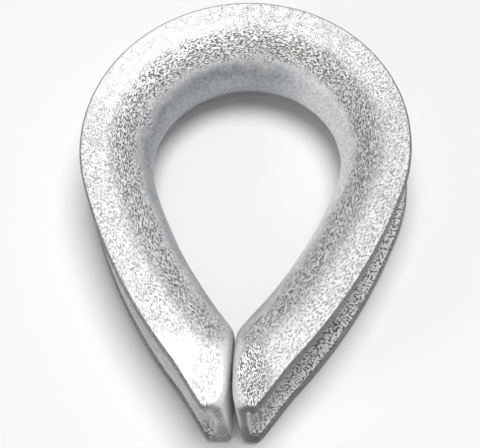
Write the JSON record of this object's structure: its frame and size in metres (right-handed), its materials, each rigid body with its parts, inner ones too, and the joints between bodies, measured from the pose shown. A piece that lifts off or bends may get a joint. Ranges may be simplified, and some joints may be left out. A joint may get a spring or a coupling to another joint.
{
  "type": "wire rope thimble",
  "caption": "Extra-heavy teardrop wire rope thimble pressed from steel channel, with an outward rope groove and an open seam at the point.",
  "frame": {"origin": "centre of the eye's round arch, in the plane that the rear flange lies on", "axes": "+Z along the axis of the eye, from the rear flange to the front one; +Y to the crown of the arch, so that the point of the teardrop is at -Y; the part is symmetric about the YZ plane"},
  "size_m": [0.0794, 0.1069, 0.0245],
  "materials": {
    "galvanised_steel": "hot-dip galvanised, satin, finely wrinkled"
  },
  "bodies": {
    "root": {"thimble": "galvanised_steel"}
  },
  "joints": []
}
